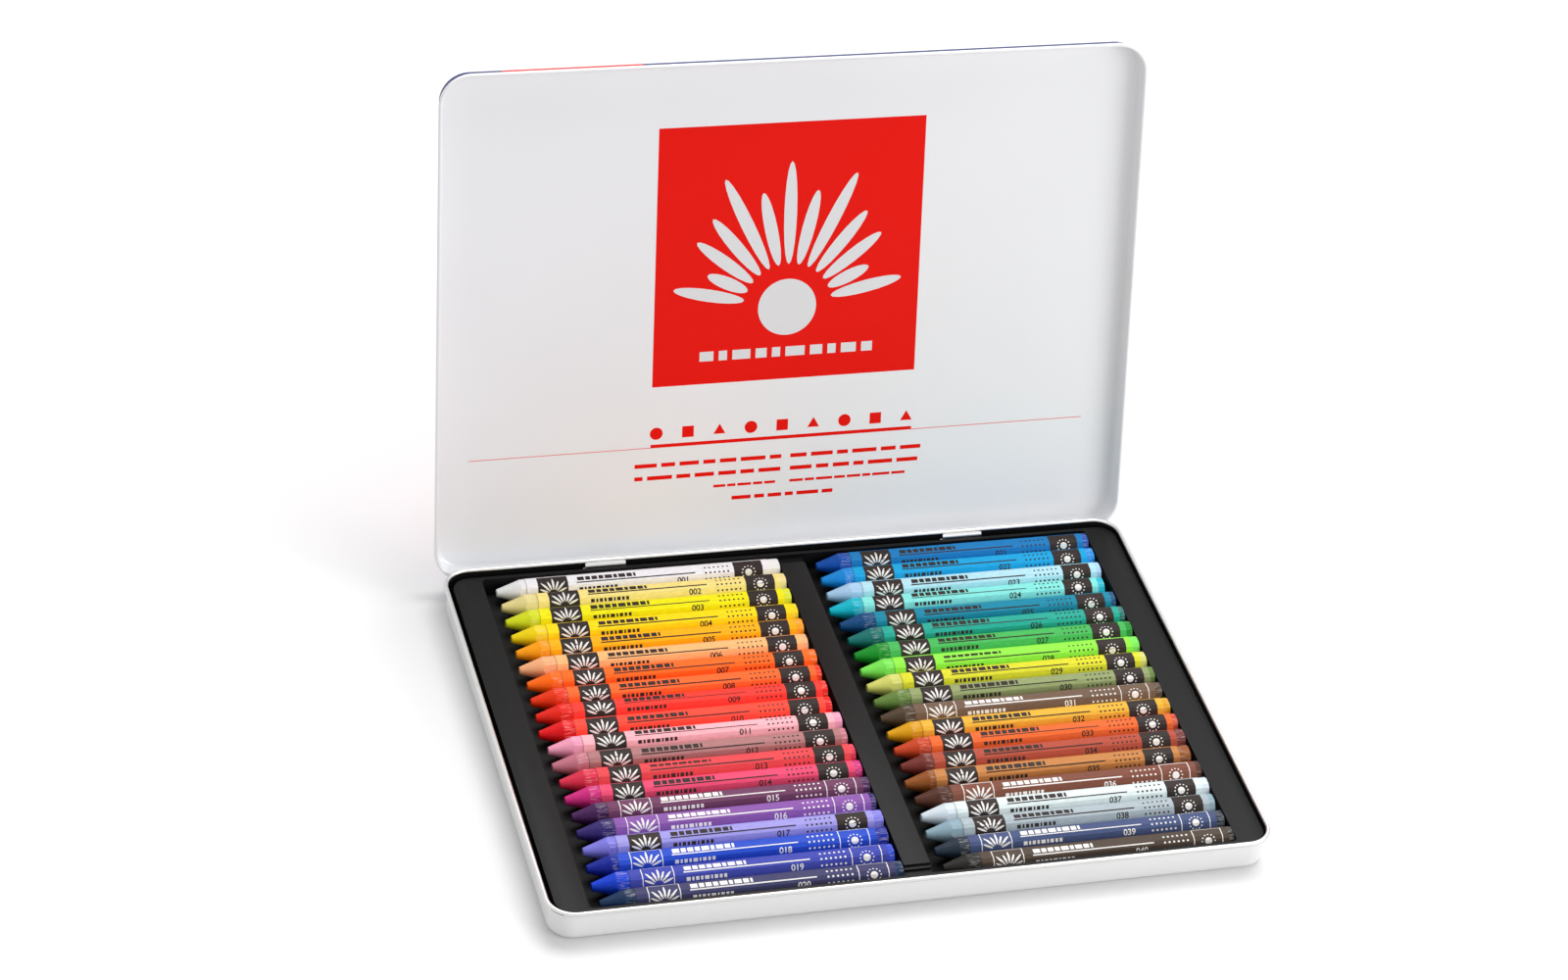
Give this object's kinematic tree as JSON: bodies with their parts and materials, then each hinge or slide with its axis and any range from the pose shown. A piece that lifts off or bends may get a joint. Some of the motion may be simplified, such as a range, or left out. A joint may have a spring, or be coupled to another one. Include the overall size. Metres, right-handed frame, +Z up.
{
  "type": "wax pastel tin",
  "caption": "Flat hinged metal tin standing open, with a formed tray that holds two rows of paper-sleeved hexagonal wax pastels either side of a bar.",
  "frame": {"origin": "centre of the flat underside of the base pan", "axes": "+X to the right along the hinge line, +Y to the rear towards the hinge, +Z up"},
  "size_m": [0.2512, 0.2306, 0.1877],
  "materials": {
    "tin_enamel": "satin white enamel, black inside",
    "lid_enamel": "satin white enamel inside, navy outside",
    "tray_plastic": "satin black formed sheet",
    "wax_white": "wax stick in a matching paper sleeve",
    "wax_cream": "wax stick in a matching paper sleeve",
    "wax_lemon_yellow": "wax stick in a matching paper sleeve",
    "wax_golden_yellow": "wax stick in a matching paper sleeve",
    "wax_orange_yellow": "wax stick in a matching paper sleeve",
    "wax_apricot": "wax stick in a matching paper sleeve",
    "wax_orange": "wax stick in a matching paper sleeve",
    "wax_vermilion": "wax stick in a matching paper sleeve",
    "wax_scarlet": "wax stick in a matching paper sleeve",
    "wax_red": "wax stick in a matching paper sleeve",
    "wax_light_pink": "wax stick in a matching paper sleeve",
    "wax_dusty_rose": "wax stick in a matching paper sleeve",
    "wax_carmine": "wax stick in a matching paper sleeve",
    "wax_magenta": "wax stick in a matching paper sleeve",
    "wax_purple": "wax stick in a matching paper sleeve",
    "wax_violet": "wax stick in a matching paper sleeve",
    "wax_lavender": "wax stick in a matching paper sleeve",
    "wax_ultramarine": "wax stick in a matching paper sleeve",
    "wax_cobalt_blue": "wax stick in a matching paper sleeve",
    "wax_navy_blue": "wax stick in a matching paper sleeve",
    "wax_azure_blue": "wax stick in a matching paper sleeve",
    "wax_sky_blue": "wax stick in a matching paper sleeve",
    "wax_pale_blue": "wax stick in a matching paper sleeve",
    "wax_turquoise": "wax stick in a matching paper sleeve",
    "wax_petrol_blue": "wax stick in a matching paper sleeve",
    "wax_sea_green": "wax stick in a matching paper sleeve",
    "wax_grass_green": "wax stick in a matching paper sleeve",
    "wax_light_green": "wax stick in a matching paper sleeve",
    "wax_pistachio": "wax stick in a matching paper sleeve",
    "wax_olive_green": "wax stick in a matching paper sleeve",
    "wax_umber": "wax stick in a matching paper sleeve",
    "wax_ochre": "wax stick in a matching paper sleeve",
    "wax_rust_red": "wax stick in a matching paper sleeve",
    "wax_maroon": "wax stick in a matching paper sleeve",
    "wax_caramel": "wax stick in a matching paper sleeve",
    "wax_chestnut": "wax stick in a matching paper sleeve",
    "wax_pale_grey": "wax stick in a matching paper sleeve",
    "wax_blue_grey": "wax stick in a matching paper sleeve",
    "wax_slate": "wax stick in a matching paper sleeve",
    "wax_black": "wax stick in a matching paper sleeve"
  },
  "bodies": {
    "base": {"base_pan": "tin_enamel"},
    "lid": {"lid_shell": "lid_enamel"},
    "tray": {"insert_tray": "tray_plastic"},
    "pastel_left_01": {"pastel_left_01": "wax_white"},
    "pastel_left_02": {"pastel_left_02": "wax_cream"},
    "pastel_left_03": {"pastel_left_03": "wax_lemon_yellow"},
    "pastel_left_04": {"pastel_left_04": "wax_golden_yellow"},
    "pastel_left_05": {"pastel_left_05": "wax_orange_yellow"},
    "pastel_left_06": {"pastel_left_06": "wax_apricot"},
    "pastel_left_07": {"pastel_left_07": "wax_orange"},
    "pastel_left_08": {"pastel_left_08": "wax_vermilion"},
    "pastel_left_09": {"pastel_left_09": "wax_scarlet"},
    "pastel_left_10": {"pastel_left_10": "wax_red"},
    "pastel_left_11": {"pastel_left_11": "wax_light_pink"},
    "pastel_left_12": {"pastel_left_12": "wax_dusty_rose"},
    "pastel_left_13": {"pastel_left_13": "wax_carmine"},
    "pastel_left_14": {"pastel_left_14": "wax_magenta"},
    "pastel_left_15": {"pastel_left_15": "wax_purple"},
    "pastel_left_16": {"pastel_left_16": "wax_violet"},
    "pastel_left_17": {"pastel_left_17": "wax_lavender"},
    "pastel_left_18": {"pastel_left_18": "wax_ultramarine"},
    "pastel_left_19": {"pastel_left_19": "wax_cobalt_blue"},
    "pastel_left_20": {"pastel_left_20": "wax_navy_blue"},
    "pastel_right_01": {"pastel_right_01": "wax_azure_blue"},
    "pastel_right_02": {"pastel_right_02": "wax_sky_blue"},
    "pastel_right_03": {"pastel_right_03": "wax_pale_blue"},
    "pastel_right_04": {"pastel_right_04": "wax_turquoise"},
    "pastel_right_05": {"pastel_right_05": "wax_petrol_blue"},
    "pastel_right_06": {"pastel_right_06": "wax_sea_green"},
    "pastel_right_07": {"pastel_right_07": "wax_grass_green"},
    "pastel_right_08": {"pastel_right_08": "wax_light_green"},
    "pastel_right_09": {"pastel_right_09": "wax_pistachio"},
    "pastel_right_10": {"pastel_right_10": "wax_olive_green"},
    "pastel_right_11": {"pastel_right_11": "wax_umber"},
    "pastel_right_12": {"pastel_right_12": "wax_ochre"},
    "pastel_right_13": {"pastel_right_13": "wax_rust_red"},
    "pastel_right_14": {"pastel_right_14": "wax_maroon"},
    "pastel_right_15": {"pastel_right_15": "wax_caramel"},
    "pastel_right_16": {"pastel_right_16": "wax_chestnut"},
    "pastel_right_17": {"pastel_right_17": "wax_pale_grey"},
    "pastel_right_18": {"pastel_right_18": "wax_blue_grey"},
    "pastel_right_19": {"pastel_right_19": "wax_slate"},
    "pastel_right_20": {"pastel_right_20": "wax_black"}
  },
  "joints": [
    {"name": "lid_hinge", "type": "hinge", "parent": "base", "child": "lid", "pos_m": [0, 0.0899, 0.0103], "axis": [-1, 0, 0], "range_deg": [-103.4, 0]},
    {"name": "tray_lift", "type": "slide", "parent": "base", "child": "tray", "axis": [0, 0, 1], "range_m": [0, 0.02]},
    {"name": "pastel_left_01_lift", "type": "slide", "parent": "tray", "child": "pastel_left_01", "axis": [0, 0, 1], "range_m": [0, 0.02]},
    {"name": "pastel_left_02_lift", "type": "slide", "parent": "tray", "child": "pastel_left_02", "axis": [0, 0, 1], "range_m": [0, 0.02]},
    {"name": "pastel_left_03_lift", "type": "slide", "parent": "tray", "child": "pastel_left_03", "axis": [0, 0, 1], "range_m": [0, 0.02]},
    {"name": "pastel_left_04_lift", "type": "slide", "parent": "tray", "child": "pastel_left_04", "axis": [0, 0, 1], "range_m": [0, 0.02]},
    {"name": "pastel_left_05_lift", "type": "slide", "parent": "tray", "child": "pastel_left_05", "axis": [0, 0, 1], "range_m": [0, 0.02]},
    {"name": "pastel_left_06_lift", "type": "slide", "parent": "tray", "child": "pastel_left_06", "axis": [0, 0, 1], "range_m": [0, 0.02]},
    {"name": "pastel_left_07_lift", "type": "slide", "parent": "tray", "child": "pastel_left_07", "axis": [0, 0, 1], "range_m": [0, 0.02]},
    {"name": "pastel_left_08_lift", "type": "slide", "parent": "tray", "child": "pastel_left_08", "axis": [0, 0, 1], "range_m": [0, 0.02]},
    {"name": "pastel_left_09_lift", "type": "slide", "parent": "tray", "child": "pastel_left_09", "axis": [0, 0, 1], "range_m": [0, 0.02]},
    {"name": "pastel_left_10_lift", "type": "slide", "parent": "tray", "child": "pastel_left_10", "axis": [0, 0, 1], "range_m": [0, 0.02]},
    {"name": "pastel_left_11_lift", "type": "slide", "parent": "tray", "child": "pastel_left_11", "axis": [0, 0, 1], "range_m": [0, 0.02]},
    {"name": "pastel_left_12_lift", "type": "slide", "parent": "tray", "child": "pastel_left_12", "axis": [0, 0, 1], "range_m": [0, 0.02]},
    {"name": "pastel_left_13_lift", "type": "slide", "parent": "tray", "child": "pastel_left_13", "axis": [0, 0, 1], "range_m": [0, 0.02]},
    {"name": "pastel_left_14_lift", "type": "slide", "parent": "tray", "child": "pastel_left_14", "axis": [0, 0, 1], "range_m": [0, 0.02]},
    {"name": "pastel_left_15_lift", "type": "slide", "parent": "tray", "child": "pastel_left_15", "axis": [0, 0, 1], "range_m": [0, 0.02]},
    {"name": "pastel_left_16_lift", "type": "slide", "parent": "tray", "child": "pastel_left_16", "axis": [0, 0, 1], "range_m": [0, 0.02]},
    {"name": "pastel_left_17_lift", "type": "slide", "parent": "tray", "child": "pastel_left_17", "axis": [0, 0, 1], "range_m": [0, 0.02]},
    {"name": "pastel_left_18_lift", "type": "slide", "parent": "tray", "child": "pastel_left_18", "axis": [0, 0, 1], "range_m": [0, 0.02]},
    {"name": "pastel_left_19_lift", "type": "slide", "parent": "tray", "child": "pastel_left_19", "axis": [0, 0, 1], "range_m": [0, 0.02]},
    {"name": "pastel_left_20_lift", "type": "slide", "parent": "tray", "child": "pastel_left_20", "axis": [0, 0, 1], "range_m": [0, 0.02]},
    {"name": "pastel_right_01_lift", "type": "slide", "parent": "tray", "child": "pastel_right_01", "axis": [0, 0, 1], "range_m": [0, 0.02]},
    {"name": "pastel_right_02_lift", "type": "slide", "parent": "tray", "child": "pastel_right_02", "axis": [0, 0, 1], "range_m": [0, 0.02]},
    {"name": "pastel_right_03_lift", "type": "slide", "parent": "tray", "child": "pastel_right_03", "axis": [0, 0, 1], "range_m": [0, 0.02]},
    {"name": "pastel_right_04_lift", "type": "slide", "parent": "tray", "child": "pastel_right_04", "axis": [0, 0, 1], "range_m": [0, 0.02]},
    {"name": "pastel_right_05_lift", "type": "slide", "parent": "tray", "child": "pastel_right_05", "axis": [0, 0, 1], "range_m": [0, 0.02]},
    {"name": "pastel_right_06_lift", "type": "slide", "parent": "tray", "child": "pastel_right_06", "axis": [0, 0, 1], "range_m": [0, 0.02]},
    {"name": "pastel_right_07_lift", "type": "slide", "parent": "tray", "child": "pastel_right_07", "axis": [0, 0, 1], "range_m": [0, 0.02]},
    {"name": "pastel_right_08_lift", "type": "slide", "parent": "tray", "child": "pastel_right_08", "axis": [0, 0, 1], "range_m": [0, 0.02]},
    {"name": "pastel_right_09_lift", "type": "slide", "parent": "tray", "child": "pastel_right_09", "axis": [0, 0, 1], "range_m": [0, 0.02]},
    {"name": "pastel_right_10_lift", "type": "slide", "parent": "tray", "child": "pastel_right_10", "axis": [0, 0, 1], "range_m": [0, 0.02]},
    {"name": "pastel_right_11_lift", "type": "slide", "parent": "tray", "child": "pastel_right_11", "axis": [0, 0, 1], "range_m": [0, 0.02]},
    {"name": "pastel_right_12_lift", "type": "slide", "parent": "tray", "child": "pastel_right_12", "axis": [0, 0, 1], "range_m": [0, 0.02]},
    {"name": "pastel_right_13_lift", "type": "slide", "parent": "tray", "child": "pastel_right_13", "axis": [0, 0, 1], "range_m": [0, 0.02]},
    {"name": "pastel_right_14_lift", "type": "slide", "parent": "tray", "child": "pastel_right_14", "axis": [0, 0, 1], "range_m": [0, 0.02]},
    {"name": "pastel_right_15_lift", "type": "slide", "parent": "tray", "child": "pastel_right_15", "axis": [0, 0, 1], "range_m": [0, 0.02]},
    {"name": "pastel_right_16_lift", "type": "slide", "parent": "tray", "child": "pastel_right_16", "axis": [0, 0, 1], "range_m": [0, 0.02]},
    {"name": "pastel_right_17_lift", "type": "slide", "parent": "tray", "child": "pastel_right_17", "axis": [0, 0, 1], "range_m": [0, 0.02]},
    {"name": "pastel_right_18_lift", "type": "slide", "parent": "tray", "child": "pastel_right_18", "axis": [0, 0, 1], "range_m": [0, 0.02]},
    {"name": "pastel_right_19_lift", "type": "slide", "parent": "tray", "child": "pastel_right_19", "axis": [0, 0, 1], "range_m": [0, 0.02]},
    {"name": "pastel_right_20_lift", "type": "slide", "parent": "tray", "child": "pastel_right_20", "axis": [0, 0, 1], "range_m": [0, 0.02]}
  ]
}
